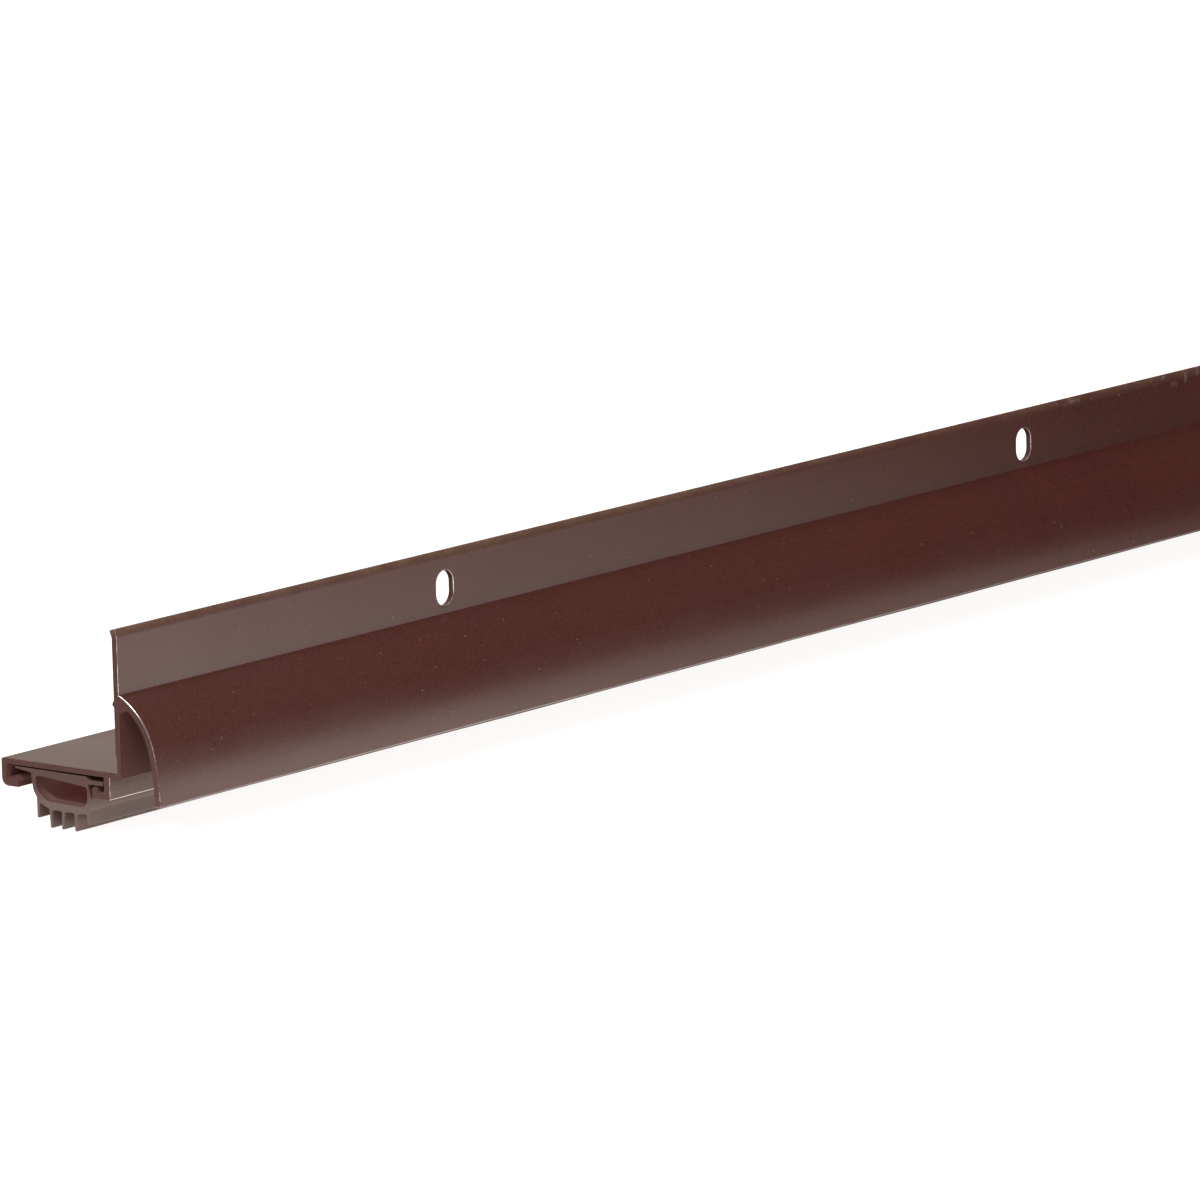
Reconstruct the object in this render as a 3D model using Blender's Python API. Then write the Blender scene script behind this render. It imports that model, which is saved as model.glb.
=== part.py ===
"""Door-bottom sweep: a brown aluminium carrier with a drip cap, holding a soft vinyl bulb insert.

Frame: X runs along the sweep, +Y points to the back, under the door, and +Z is up.
The origin is at mid-length, in the plane that the door's face touches (y = 0), on top of
the leg that goes under the door (z = 0).

Both pieces are extrusions, so each one is drawn once as an outline in the Y-Z plane and
carried along X. The slots are then cut through the carrier's flange.
"""

import math

import bmesh
import bpy
from mathutils import Matrix, Vector

MM = 0.001

# ---- driving dimensions of the carrier -------------------------------------------------
LENGTH = 914.4 * MM              # cut length, for a 36 in door
FLANGE_HEIGHT = 33.0 * MM        # top of the flange above the leg
FLANGE_THICKNESS = 1.5 * MM
PROUD = 0.55 * MM                # lip and rib stand this far out of the flange's back
TOP_LEAN = 0.45 * MM             # the flange's front leans back this much at its very top
TOP_LEAN_HEIGHT = 1.5 * MM       # over this height
TOP_LIP_DROP = 0.5 * MM          # the top slopes down this much to the back, onto the lip
TOP_LIP_FLAT = 0.35 * MM         # height of the lip's tip
TOP_LIP_RUN_OUT = 1.35 * MM      # height over which the lip runs back into the flange
RIB_HEIGHT = 15.7 * MM           # tip of the rib above the leg
RIB_UPPER_SLOPE = 1.0 * MM       # height of the rib above its tip
RIB_LOWER_SLOPE = 0.8 * MM       # height of the rib below its tip
RELIEF_HEIGHT = 4.0 * MM         # the flange's back is relieved below this height
RELIEF_DEPTH = 0.3 * MM
LEG_DEPTH = 34.1 * MM            # from the door's face to the back of the leg
LEG_THICKNESS = 1.3 * MM

CAP_HEIGHT = 17.9 * MM           # where the drip cap leaves the flange's front
CAP_THICKNESS = 1.6 * MM
CAP_START = math.radians(24)     # slope below the horizontal where it leaves the flange
CAP_BEND = math.radians(77)      # slope where the tight bend runs out into the skirt
CAP_BEND_RADIUS = 17.5 * MM
SKIRT_RADIUS = 55.0 * MM
SKIRT_BOTTOM = 6.5 * MM          # bottom of the skirt below the top of the leg
CAP_ROOT_FILLET = 1.5 * MM

HOOK_DEPTH = 6.4 * MM            # underside of both hooks below the top of the leg
HOOK_SET_BACK = 3.55 * MM        # front hook's outer face behind the flange's front face
FRONT_HOOK_WALL = 1.8 * MM
BACK_HOOK_WALL = 1.45 * MM
LIP_THICKNESS = 1.6 * MM
LIP_REACH = 3.6 * MM             # each lip, from its hook's inner wall to its free end
LIP_HUMP = 1.1 * MM              # rounded bead along each lip's free end
LIP_HUMP_WIDTH = 1.7 * MM
LIP_EDGE = 0.25 * MM             # radius under each lip's free end
CHANNEL_CORNER = 0.5 * MM        # radius where a lip meets its hook's inner wall
BACK_CORNER = 1.8 * MM           # outer radius under the back hook
BACK_EDGE = 0.5 * MM             # radius along the leg's back edge
SMALL_EDGE = 0.15 * MM           # radius along the extrusion's other edges

SLOT_WIDTH = 6.35 * MM
SLOT_LENGTH = 8.6 * MM           # end to end, upright
SLOT_HEIGHT = 23.9 * MM          # centre above the leg
SLOT_PITCH = 228.6 * MM
SLOT_END_MARGIN = 60.0 * MM      # least distance from a slot's centre to the cut end
SLOT_STEPS = 12                  # facets round each end of a slot
CUTTER_OVERRUN = 2.0 * MM        # a slot's cutter passes the flange by this much on each side

# ---- driving dimensions of the insert --------------------------------------------------
CLEARANCE = 0.3 * MM             # least running gap between the insert and the carrier
WEB_DROP = 0.35 * MM             # the web's front part hangs this much lower than its back
WEB_STEP_BACK = 1.5 * MM         # where that step starts and ends, behind the bulb's middle
WEB_STEP_FRONT = 0.6 * MM
WEB_ROUND = 0.5 * MM             # radii where the web falls to the front tab
SHOULDER_BACK = 0.8 * MM         # that fall starts this far behind the neck
SHOULDER_FRONT = 0.6 * MM        # and ends this far in front of it
TAB_THICKNESS = 1.0 * MM         # tabs that hang over the lips
TAB_ROUND = 0.4 * MM             # radii on the front tab's edge
TAB_TIP_THICKNESS = 0.4 * MM     # the back tab thins out to this
TAB_TIP_ROUND = 0.12 * MM
TAB_SLACK = 2.7 * MM             # from the back tab's tip to the back hook's inner wall
NECK_TAPER = 0.9 * MM            # the bulb is this much narrower where it enters the channel
NECK_ROUND = 0.3 * MM
BULB_SLACK = 3.9 * MM            # from the bulb to the back lip
BULB_DEPTH = 4.1 * MM            # bulb's underside below the hooks
BULB_WALL = 1.25 * MM
BULB_FLOOR = 1.6 * MM
BULB_FRONT_RADIUS = 2.8 * MM
BULB_BACK_RADIUS = 6.6 * MM
HOLLOW_ROOF = 1.35 * MM          # vinyl between the hollow and the web's top, at the back
HOLLOW_RISE = 1.2 * MM           # the hollow's roof rises this much from front to back
HOLLOW_TOP_ROUND = 0.9 * MM
HOLLOW_FRONT_ROUND = 2.1 * MM
HOLLOW_BACK_ROUND = 4.8 * MM
HOLLOW_BACK_LIFT = 0.4 * MM      # the hollow's floor is this much higher at the back
FIN_COUNT = 5
FIN_THICKNESS = 0.85 * MM
FIN_TAPER = 0.85                 # tip thickness over root thickness
FIN_ROUND = 0.25 * MM            # radii at each fin's tip
FIN_REACH = 4.15 * MM            # inner fins, below the bulb's underside
OUTER_FIN_REACH = 2.2 * MM       # first and last fin, below the bulb's underside
FRONT_FIN_INSET = 1.1 * MM       # first fin's centre from the bulb's front
BACK_FIN_INSET = 1.85 * MM       # last fin's centre from the bulb's back
UNDERSIDE_STEPS = 5              # facets along the bulb's underside between two fins

ARC_STEP = math.radians(8)       # a round stretch gets a point at least this often
NEAR_HALF = 0.49                 # two corners rounded by this share of their distance don't meet
SMOOTH_LIMIT = math.radians(30)  # edges sharper than this stay crisp

# ---- planes that both pieces are laid out from -----------------------------------------
FLANGE_BACK = -PROUD
FLANGE_FRONT = FLANGE_BACK - FLANGE_THICKNESS
FRONT_HOOK_OUTER = FLANGE_FRONT + HOOK_SET_BACK
CHANNEL_FRONT = FRONT_HOOK_OUTER + FRONT_HOOK_WALL
CHANNEL_BACK = LEG_DEPTH - BACK_HOOK_WALL
FRONT_LIP_END = CHANNEL_FRONT + LIP_REACH
BACK_LIP_END = CHANNEL_BACK - LIP_REACH
LIP_TOP = -HOOK_DEPTH + LIP_THICKNESS
HUMP_TOP = LIP_TOP + LIP_HUMP
WEB_TOP = -LEG_THICKNESS - CLEARANCE
BULB_FRONT = FRONT_LIP_END + CLEARANCE
BULB_BACK = BACK_LIP_END - BULB_SLACK
BULB_BOTTOM = -HOOK_DEPTH - BULB_DEPTH


def clear_scene():
    """Take away whatever the file opened with."""
    for thing in list(bpy.data.objects):
        bpy.data.objects.remove(thing, do_unlink=True)


def material(name, colour, roughness, metallic):
    """A Principled BSDF with the piece's plain values."""
    made = bpy.data.materials.new(name)
    made.use_nodes = True
    shader = made.node_tree.nodes["Principled BSDF"]
    shader.inputs["Base Color"].default_value = (*colour, 1.0)
    shader.inputs["Roughness"].default_value = roughness
    shader.inputs["Metallic"].default_value = metallic
    return made


def rounded(corners):
    """Turn (y, z, radius) corners into points, each round corner as an arc tangent to its sides."""
    points = []
    for i, (y, z, radius) in enumerate(corners):
        here = Vector((y, z))
        if not radius:
            points.append(here)
            continue
        before = (Vector(corners[i - 1][:2]) - here).normalized()
        after = (Vector(corners[(i + 1) % len(corners)][:2]) - here).normalized()
        half = before.angle(after) / 2
        centre = here + (before + after).normalized() * radius / math.sin(half)
        start = here + before * radius / math.tan(half) - centre
        end = here + after * radius / math.tan(half) - centre
        turn = math.pi - 2 * half
        steps = max(2, math.ceil(turn / ARC_STEP))
        for k in range(steps + 1):
            share = k / steps
            blend = start * math.sin((1 - share) * turn) + end * math.sin(share * turn)
            points.append(centre + blend / math.sin(turn))
    return points


def cap_arc(centre, radius, slope_from, slope_to):
    """Points on one bend of the drip cap, from where it falls at slope_from to slope_to."""
    steps = max(2, math.ceil((slope_to - slope_from) / ARC_STEP))
    slopes = [slope_from + (slope_to - slope_from) * k / steps for k in range(steps + 1)]
    return [(centre[0] - radius * math.sin(slope), centre[1] + radius * math.cos(slope), 0)
            for slope in slopes]


def cap_side(inset):
    """One side of the drip cap, top to bottom: inset 0 is the outside, its thickness the inside.

    The cap is a tight bend that runs out into a skirt of larger radius. Both sides are
    drawn round the same two centres, and end on the flange's front and the skirt's bottom.
    """
    bend_centre = (FLANGE_FRONT + CAP_BEND_RADIUS * math.sin(CAP_START),
                   CAP_HEIGHT - CAP_BEND_RADIUS * math.cos(CAP_START))
    apart = SKIRT_RADIUS - CAP_BEND_RADIUS
    skirt_centre = (bend_centre[0] + apart * math.sin(CAP_BEND),
                    bend_centre[1] - apart * math.cos(CAP_BEND))
    start = math.asin(CAP_BEND_RADIUS * math.sin(CAP_START) / (CAP_BEND_RADIUS - inset))
    end = math.acos(max(0.0, (-SKIRT_BOTTOM - skirt_centre[1]) / SKIRT_RADIUS))
    bend = cap_arc(bend_centre, CAP_BEND_RADIUS - inset, start, CAP_BEND)
    skirt = cap_arc(skirt_centre, SKIRT_RADIUS - inset, CAP_BEND, end)
    return bend + skirt[1:-1] + [(skirt[-1][0], -SKIRT_BOTTOM, 0)]


def hook_lip(end, inner_wall, outward):
    """Corners of one lip from its free end's underside, over its bead, to the hook's inner wall."""
    bead = LIP_HUMP_WIDTH * NEAR_HALF
    past = end + outward * LIP_HUMP_WIDTH
    return [
        (end, -HOOK_DEPTH, LIP_EDGE),
        (end, HUMP_TOP, bead),
        (past, HUMP_TOP, bead),
        (past, LIP_TOP, 0),
        (inner_wall, LIP_TOP, CHANNEL_CORNER),
        (inner_wall, -LEG_THICKNESS, SMALL_EDGE),
    ]


def carrier_outline():
    """The carrier's outline, from the flange's top down its back, round the hooks and the cap."""
    lip_tip = FLANGE_HEIGHT - TOP_LIP_DROP - TOP_LIP_FLAT
    relieved = FLANGE_BACK - RELIEF_DEPTH
    lip = [
        (FLANGE_FRONT + TOP_LEAN, FLANGE_HEIGHT, SMALL_EDGE),
        (0, FLANGE_HEIGHT - TOP_LIP_DROP, SMALL_EDGE),
        (0, lip_tip, 0),
        (FLANGE_BACK, lip_tip - TOP_LIP_RUN_OUT, 0),
    ]
    back = [
        (FLANGE_BACK, RIB_HEIGHT + RIB_UPPER_SLOPE, 0),
        (0, RIB_HEIGHT, SMALL_EDGE),
        (FLANGE_BACK, RIB_HEIGHT - RIB_LOWER_SLOPE, 0),
        (FLANGE_BACK, RELIEF_HEIGHT, 0),
        (relieved, RELIEF_HEIGHT - RELIEF_DEPTH, 0),
        (relieved, 0, 0),
    ]
    back_hook = [
        (LEG_DEPTH, 0, BACK_EDGE),
        (LEG_DEPTH, -HOOK_DEPTH, BACK_CORNER),
        *hook_lip(BACK_LIP_END, CHANNEL_BACK, 1),
    ]
    front_hook = [
        *reversed(hook_lip(FRONT_LIP_END, CHANNEL_FRONT, -1)),
        (FRONT_HOOK_OUTER, -HOOK_DEPTH, SMALL_EDGE),
        (FRONT_HOOK_OUTER, -LEG_THICKNESS, SMALL_EDGE),
        (FLANGE_FRONT, -LEG_THICKNESS, SMALL_EDGE),
    ]
    (root_y, root_z, _), *under_cap = cap_side(CAP_THICKNESS)
    past_fillet = [p for p in under_cap if math.dist(p[:2], (root_y, root_z)) > 2 * CAP_ROOT_FILLET]
    cap = [(root_y, root_z, CAP_ROOT_FILLET), *past_fillet, *reversed(cap_side(0))]
    face = [(FLANGE_FRONT, FLANGE_HEIGHT - TOP_LEAN_HEIGHT, 0)]
    return rounded(lip + back + back_hook + front_hook + cap + face)


def bulb_underside(y):
    """Height of the bulb's outer underside at y: flat, with a round corner at each end."""
    front_centre = BULB_FRONT + BULB_FRONT_RADIUS
    back_centre = BULB_BACK - BULB_BACK_RADIUS
    if y < front_centre:
        drop = math.sqrt(max(0.0, BULB_FRONT_RADIUS ** 2 - (y - front_centre) ** 2))
        return BULB_BOTTOM + BULB_FRONT_RADIUS - drop
    if y > back_centre:
        drop = math.sqrt(max(0.0, BULB_BACK_RADIUS ** 2 - (y - back_centre) ** 2))
        return BULB_BOTTOM + BULB_BACK_RADIUS - drop
    return BULB_BOTTOM


def underside_run(y_from, y_to):
    """Points along the bulb's underside between two fins, or between a fin and a side."""
    run = []
    for k in range(UNDERSIDE_STEPS + 1):
        share = (1 - math.cos(math.pi * k / UNDERSIDE_STEPS)) / 2
        y = y_from + (y_to - y_from) * share
        run.append((y, bulb_underside(y), 0))
    return run


def fin_centres():
    """Where the fins hang, front to back, evenly spaced."""
    first = BULB_FRONT + FRONT_FIN_INSET
    last = BULB_BACK - BACK_FIN_INSET
    return [first + (last - first) * i / (FIN_COUNT - 1) for i in range(FIN_COUNT)]


def finned_underside():
    """The insert's outline from the bulb's front side, under it and up to its back side."""
    run = []
    y = BULB_FRONT
    for i, centre in enumerate(fin_centres()):
        outer = i in (0, FIN_COUNT - 1)
        tip = BULB_BOTTOM - (OUTER_FIN_REACH if outer else FIN_REACH)
        root, end = FIN_THICKNESS / 2, FIN_THICKNESS * FIN_TAPER / 2
        run += underside_run(y, centre - root)
        run += [(centre - end, tip, FIN_ROUND), (centre + end, tip, FIN_ROUND)]
        y = centre + root
    return run + underside_run(y, BULB_BACK)


def insert_outline():
    """The insert's outer outline: web and tabs in the channel, then the bulb with its fins."""
    tab_front = CHANNEL_FRONT + CLEARANCE
    tab_back = CHANNEL_BACK - TAB_SLACK
    tab_under = HUMP_TOP + CLEARANCE
    tab_top = tab_under + TAB_THICKNESS
    neck = BULB_FRONT + NECK_TAPER
    middle = (BULB_FRONT + BULB_BACK) / 2
    channel = [
        (tab_back, WEB_TOP, TAB_TIP_ROUND),
        (middle + WEB_STEP_BACK, WEB_TOP, 0),
        (middle + WEB_STEP_FRONT, WEB_TOP - WEB_DROP, 0),
        (neck + SHOULDER_BACK, WEB_TOP - WEB_DROP, WEB_ROUND),
        (neck - SHOULDER_FRONT, tab_top, WEB_ROUND),
        (tab_front, tab_top, TAB_ROUND),
        (tab_front, tab_under, TAB_ROUND),
        (neck, tab_under, NECK_ROUND),
        (BULB_FRONT, -HOOK_DEPTH - CLEARANCE, 0),
    ]
    back = [
        (BULB_BACK, WEB_TOP - TAB_THICKNESS, NECK_ROUND),
        (tab_back, WEB_TOP - TAB_TIP_THICKNESS, TAB_TIP_ROUND),
    ]
    return rounded(channel + finned_underside() + back)


def hollow_outline():
    """The bulb's hollow, which follows its walls and rises to the back like the web."""
    front = BULB_FRONT + BULB_WALL
    back = BULB_BACK - BULB_WALL
    floor = BULB_BOTTOM + BULB_FLOOR
    roof = WEB_TOP - HOLLOW_ROOF
    return rounded([
        (back, roof, HOLLOW_TOP_ROUND),
        (front, roof - HOLLOW_RISE, HOLLOW_TOP_ROUND),
        (front, floor, HOLLOW_FRONT_ROUND),
        (back, floor + HOLLOW_BACK_LIFT, HOLLOW_BACK_ROUND),
    ])


def extrude_along_x(name, loops, length):
    """A closed solid of the given length, centred on X = 0, from nested Y-Z outlines."""
    bm = bmesh.new()
    for loop in loops:
        verts = [bm.verts.new((-length / 2, p.x, p.y)) for p in loop]
        for a, b in zip(verts, verts[1:] + verts[:1]):
            bm.edges.new((a, b))
    bmesh.ops.triangle_fill(bm, use_beauty=True, edges=bm.edges[:])
    grown = bmesh.ops.extrude_face_region(bm, geom=bm.faces[:], use_keep_orig=True)
    far = [item for item in grown["geom"] if isinstance(item, bmesh.types.BMVert)]
    bmesh.ops.translate(bm, verts=far, vec=(length, 0, 0))
    bmesh.ops.recalc_face_normals(bm, faces=bm.faces[:])
    mesh = bpy.data.meshes.new(name)
    bm.to_mesh(mesh)
    bm.free()
    made = bpy.data.objects.new(name, mesh)
    bpy.context.scene.collection.objects.link(made)
    return made


def move_origin(thing, point):
    """Put the object's origin at point without moving its surface."""
    thing.data.transform(Matrix.Translation(-Vector(point)))
    thing.location = point


def slot_centres():
    """Where the slots are along X: as many as fit at the pitch, centred on the length."""
    count = int((LENGTH - 2 * SLOT_END_MARGIN) / SLOT_PITCH) + 1
    return [(i - (count - 1) / 2) * SLOT_PITCH for i in range(count)]


def slot_cutter(index, x):
    """An upright round-ended peg that cuts one slot through the flange."""
    radius = SLOT_WIDTH / 2
    straight = (SLOT_LENGTH - SLOT_WIDTH) / 2
    bm = bmesh.new()
    for side in (1, -1):
        for k in range(SLOT_STEPS + 1):
            turn = math.pi * k / SLOT_STEPS
            z = SLOT_HEIGHT + side * (straight + radius * math.sin(turn))
            bm.verts.new((x + side * radius * math.cos(turn), FLANGE_FRONT - CUTTER_OVERRUN, z))
    bm.faces.new(bm.verts[:])
    grown = bmesh.ops.extrude_face_region(bm, geom=bm.faces[:], use_keep_orig=True)
    far = [item for item in grown["geom"] if isinstance(item, bmesh.types.BMVert)]
    bmesh.ops.translate(bm, verts=far, vec=(0, FLANGE_THICKNESS + 2 * CUTTER_OVERRUN, 0))
    bmesh.ops.recalc_face_normals(bm, faces=bm.faces[:])
    mesh = bpy.data.meshes.new(f"slot_cutter_{index}")
    bm.to_mesh(mesh)
    bm.free()
    cutter = bpy.data.objects.new(f"slot_cutter_{index}", mesh)
    bpy.context.scene.collection.objects.link(cutter)
    cutter.hide_render = True
    cutter.display_type = "WIRE"
    return cutter


def finish_surface(thing, look):
    """Give the piece its material and smooth shading with crisp edges."""
    thing.data.materials.append(look)
    thing.data.shade_smooth()
    thing.data.set_sharp_from_angle(angle=SMOOTH_LIMIT)


def make_carrier():
    """The aluminium extrusion: flange, drip cap, leg and the two hooks, with its slots cut."""
    carrier = extrude_along_x("aluminium_carrier", [carrier_outline()], LENGTH)
    for i, x in enumerate(slot_centres()):
        cut = carrier.modifiers.new(f"slot_{i}", "BOOLEAN")
        cut.operation = "DIFFERENCE"
        cut.solver = "EXACT"
        cut.object = slot_cutter(i, x)
    finish_surface(carrier, material("brown_finish", (0.070, 0.036, 0.030), 0.38, 0.2))
    return carrier


def make_insert():
    """The vinyl extrusion that slides in the carrier's channel, with its origin on its slide axis."""
    insert = extrude_along_x("vinyl_bulb_insert", [insert_outline(), hollow_outline()], LENGTH)
    move_origin(insert, (0, (BULB_FRONT + BULB_BACK) / 2, -HOOK_DEPTH))
    finish_surface(insert, material("brown_vinyl", (0.100, 0.062, 0.054), 0.55, 0.0))
    return insert


def main():
    clear_scene()
    make_carrier()
    make_insert()


main()
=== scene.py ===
# %% [markdown]
# # A door sweep, as its maker would finish it
#
# A door sweep closes the gap under an outside door. This one is two extrusions, about 36 in long:
# an aluminium carrier with a drip cap in front and a leg that goes under the door, and a soft
# vinyl insert with a hollow bulb and five fins, which slides into a channel under the leg.
#
# The imported model gives both pieces as plain solids at their true sizes. This file draws them
# again as fine surfaces, with the finish, cut ends, punched slots and worn edges of real ones.
# The first step loads the imported model and keeps its box, for sizes taken from it below.

import math

import bmesh
import bpy
import numpy as np
from mathutils import Matrix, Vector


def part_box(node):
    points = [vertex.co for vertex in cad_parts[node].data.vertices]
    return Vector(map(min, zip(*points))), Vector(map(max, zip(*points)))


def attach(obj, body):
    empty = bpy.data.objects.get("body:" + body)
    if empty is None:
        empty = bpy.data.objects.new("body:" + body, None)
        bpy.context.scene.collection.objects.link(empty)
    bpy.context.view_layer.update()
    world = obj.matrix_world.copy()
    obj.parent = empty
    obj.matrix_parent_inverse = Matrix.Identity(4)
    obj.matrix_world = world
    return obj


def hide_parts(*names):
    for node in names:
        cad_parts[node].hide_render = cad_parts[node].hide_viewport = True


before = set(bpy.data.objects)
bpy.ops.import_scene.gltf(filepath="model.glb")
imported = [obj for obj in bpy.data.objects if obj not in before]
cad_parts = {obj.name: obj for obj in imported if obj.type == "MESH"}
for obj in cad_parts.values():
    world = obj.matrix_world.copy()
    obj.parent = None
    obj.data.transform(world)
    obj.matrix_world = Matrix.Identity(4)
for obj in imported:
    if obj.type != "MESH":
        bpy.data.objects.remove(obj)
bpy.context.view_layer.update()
MM = 0.001
carrier_low, carrier_high = (np.array(corner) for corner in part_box("aluminium_carrier"))
insert_low, insert_high = (np.array(corner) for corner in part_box("vinyl_bulb_insert"))
half_length = carrier_high[0]

# %% [markdown]
# ## Rounded corners
#
# An extrusion has no perfectly sharp corner: the die rounds each one, and it is these thin round
# edges that catch the light. A bevel on the finished solid would round them all alike, so the
# corners are rounded in the outline instead, each with its own radius, before it is extruded.

# %% A section outline from its corners
ARC_POINTS = 9


def unit(vectors):
    """Each vector divided by its own length."""
    return vectors / np.maximum(np.linalg.norm(vectors, axis=-1, keepdims=True), 1e-12)


def rounded(corners):
    """Turn rows of (y, z, radius) into an outline.

    The arc at a corner has its centre on the bisector, radius / sin(half angle) away. Its points
    swing from the foot on one side to the foot on the other, each a mix of the two feet
    weighted by the sines of the angles still to go. A corner of radius 0 stays one point.
    """
    at, radius = corners[:, :2], corners[:, 2]
    before = unit(np.roll(at, 1, 0) - at)
    after = unit(np.roll(at, -1, 0) - at)
    half = np.arccos(np.clip((before * after).sum(1), -1, 1)) / 2
    centre = at + unit(before + after) * (radius / np.sin(half))[:, None]
    foot = (radius / np.tan(half))[:, None]
    start = at + before * foot - centre
    end = at + after * foot - centre
    turn = np.maximum(math.pi - 2 * half, 1e-6)[:, None, None]
    share = np.linspace(0, 1, ARC_POINTS)[None, :, None]
    swing = start[:, None] * np.sin((1 - share) * turn) + end[:, None] * np.sin(share * turn)
    swing = swing / np.sin(turn)
    round_here = radius[:, None] > 0
    points = np.where(round_here[..., None], centre[:, None] + swing, at[:, None])
    return points[round_here | (np.arange(ARC_POINTS) == 0)]


def sharp(points):
    """Outline points that need no rounding, as rows of (y, z, 0)."""
    points = np.atleast_2d(points)
    return np.hstack([points, np.zeros((len(points), 1))])


# %% [markdown]
# ## The carrier's section
#
# The flange stands in front of the door, the leg goes under it, and two hooks under the leg face
# each other to make a channel. The drip cap throws rain clear of the threshold: it leaves the
# flange at a slope, turns down round a tight bend and runs out into a long, almost upright
# skirt. The outline goes once round the section, clockwise seen from the left end, with y = 0 at
# the door's face and z = 0 on the leg. All of these sizes are in millimetres.

# %% Sizes of the section
flange_front, flange_back = -2.05, -0.55
flange_top, lean_start = 33.0, 31.5
leg_under = -1.3
leg_back = carrier_high[1] / MM
hook_front, channel_front, channel_back = 1.5, 3.3, 32.65
hook_bottom, lip_top, bead_top = -6.4, -4.8, -3.7
lip_reach, bead_width = 3.6, 1.7
skirt_bottom = carrier_low[2] / MM
die_edge = 0.15

# %% [markdown]
# ## The drip cap's two bends
#
# The cap is one strip of even thickness, bent twice. A spline through chosen points would wander
# and change its thickness, so it is two arcs that share a tangent, and the inside is the same two
# arcs drawn with smaller radii.

# %% The drip cap's two bends
cap_top, cap_thickness = 17.9, 1.6
bend_radius, skirt_radius = 17.5, 55.0
slope_start, slope_join = math.radians(24), math.radians(77)
bend_centre = np.array([flange_front + bend_radius * math.sin(slope_start),
                        cap_top - bend_radius * math.cos(slope_start)])
join_direction = np.array([math.sin(slope_join), -math.cos(slope_join)])
skirt_centre = bend_centre + (skirt_radius - bend_radius) * join_direction
slope_end = math.acos((skirt_bottom - skirt_centre[1]) / skirt_radius)


def cap_side(inset):
    """One side of the cap, top to bottom, as two arcs that share one tangent where they join.

    A point where the cap falls at a slope lies at centre + radius * (-sin slope, cos slope).
    inset 0 is the outside; its thickness gives the inside, from where that meets the flange.
    """
    first = math.asin(bend_radius * math.sin(slope_start) / (bend_radius - inset))
    bend = np.linspace(first, slope_join, 22)[:, None]
    skirt = np.linspace(slope_join, slope_end, 9)[1:, None]
    upper = bend_centre + (bend_radius - inset) * np.hstack([-np.sin(bend), np.cos(bend)])
    lower = skirt_centre + (skirt_radius - inset) * np.hstack([-np.sin(skirt), np.cos(skirt)])
    side = np.vstack([upper, lower])
    side[-1, 1] = skirt_bottom
    return side


# %% [markdown]
# The slots are cut later, through a window in the flange's front and back. The outline needs
# points on both faces where that window's edges will be, so their heights are set here first.

# %% Where the slots are
slot_width, slot_length = 6.15, 8.35
slot_radius, slot_straight = slot_width / 2, (slot_length - slot_width) / 2
slot_height, slot_pitch, slot_count = 23.9, 228.6, 4
slot_x = (np.arange(slot_count) - (slot_count - 1) / 2) * slot_pitch
WINDOW_STEPS = 9
window_margin = 1.0
window_half = np.array([slot_radius, slot_radius + slot_straight]) + window_margin
window_steps = np.linspace(-1, 1, WINDOW_STEPS + 1)
window_heights = slot_height + window_half[1] * window_steps
print("slots at", slot_x, "mm, window heights", window_heights[[0, -1]])

# %% [markdown]
# ## The carrier's outline
#
# Each hook ends in a lip with a round bead along its free edge. The two lips are alike and face
# each other, so one function gives both. A lip and a small rib on the flange's back touch the
# door. Every corner is listed once with its own radius, in the order that a finger would follow.

# %% The carrier's outline


def lip(end, wall, outward):
    """Corners of one hook's lip: its free end, the bead along it, and up the hook's inner wall."""
    bead = bead_width * 0.49
    past = end + outward * bead_width
    return np.array([
        (end, hook_bottom, 0.25),
        (end, bead_top, bead),
        (past, bead_top, bead),
        (past, lip_top, 0.08),
        (wall, lip_top, 0.5),
        (wall, leg_under, die_edge),
    ])


def carrier_outline():
    """Once round the section: down the back, out along the leg, round the hooks, up the cap."""
    down_the_back = np.array([
        (flange_front + 0.45, flange_top, 0.4),
        (0, flange_top - 0.5, die_edge),
        (0, flange_top - 0.85, 0.1),
        (flange_back, flange_top - 2.2, 0.6),
    ])
    window = np.full(WINDOW_STEPS + 1, flange_back)
    back_window = sharp(np.stack([window, window_heights[::-1]], 1))
    below = np.array([
        (flange_back, 16.7, 0.3),
        (0, 15.7, 0.12),
        (flange_back, 14.9, 0.3),
        (flange_back, 4.0, 0.2),
        (flange_back - 0.3, 3.7, 0.2),
        (flange_back - 0.3, 0, 0.2),
        (leg_back, 0, 0.5),
        (leg_back, hook_bottom, 1.8),
    ])
    back_lip = lip(channel_back - lip_reach, channel_back, 1)
    front_lip = lip(channel_front + lip_reach, channel_front, -1)[::-1]
    front_hook = np.array([
        (hook_front, hook_bottom, 0.25),
        (hook_front, leg_under, 0.2),
        (flange_front, leg_under, die_edge),
    ])
    inside = cap_side(cap_thickness)
    fillet = 1.5
    past_fillet = np.linalg.norm(inside - inside[0], axis=1) > 2 * fillet
    skirt_tip = 0.3
    cap = np.vstack([
        (*inside[0], fillet),
        sharp(inside[past_fillet][:-1]),
        (*inside[-1], skirt_tip),
        (*cap_side(0)[-1], skirt_tip),
        sharp(cap_side(0)[-2:0:-1]),
        (*cap_side(0)[0], 0.12),
    ])
    front_window = sharp(np.stack([window - flange_back + flange_front, window_heights], 1))
    lean = np.array([(flange_front, lean_start, 6.0)])
    return rounded(np.vstack([down_the_back, back_window, below, back_lip, front_lip,
                              front_hook, cap, front_window, lean])) * MM


carrier_section = carrier_outline()
print("carrier outline:", len(carrier_section), "points")

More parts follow.
